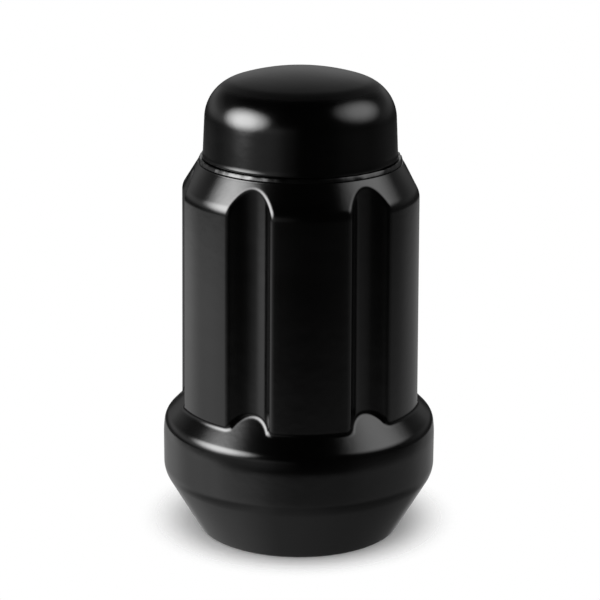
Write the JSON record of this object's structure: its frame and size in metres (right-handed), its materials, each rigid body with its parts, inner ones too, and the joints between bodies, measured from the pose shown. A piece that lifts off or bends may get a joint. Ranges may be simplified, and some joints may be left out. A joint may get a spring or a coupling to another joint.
{
  "type": "lug nut",
  "caption": "Closed-end lug nut with a grooved drive spline, a flanged conical seat and a welded end cap, to clamp a wheel on its stud.",
  "frame": {"origin": "centre of the base ring, on the thread's axis", "axes": "+Z along the thread from the seat to the end cap, +X through the middle of a groove"},
  "size_m": [0.0232, 0.0232, 0.0398],
  "materials": {
    "body_coat": "semi-gloss black coat on steel",
    "cap_coat": "semi-gloss black coat on pressed steel"
  },
  "bodies": {
    "root": {"nut_body": "body_coat", "end_cap": "cap_coat"}
  },
  "joints": []
}
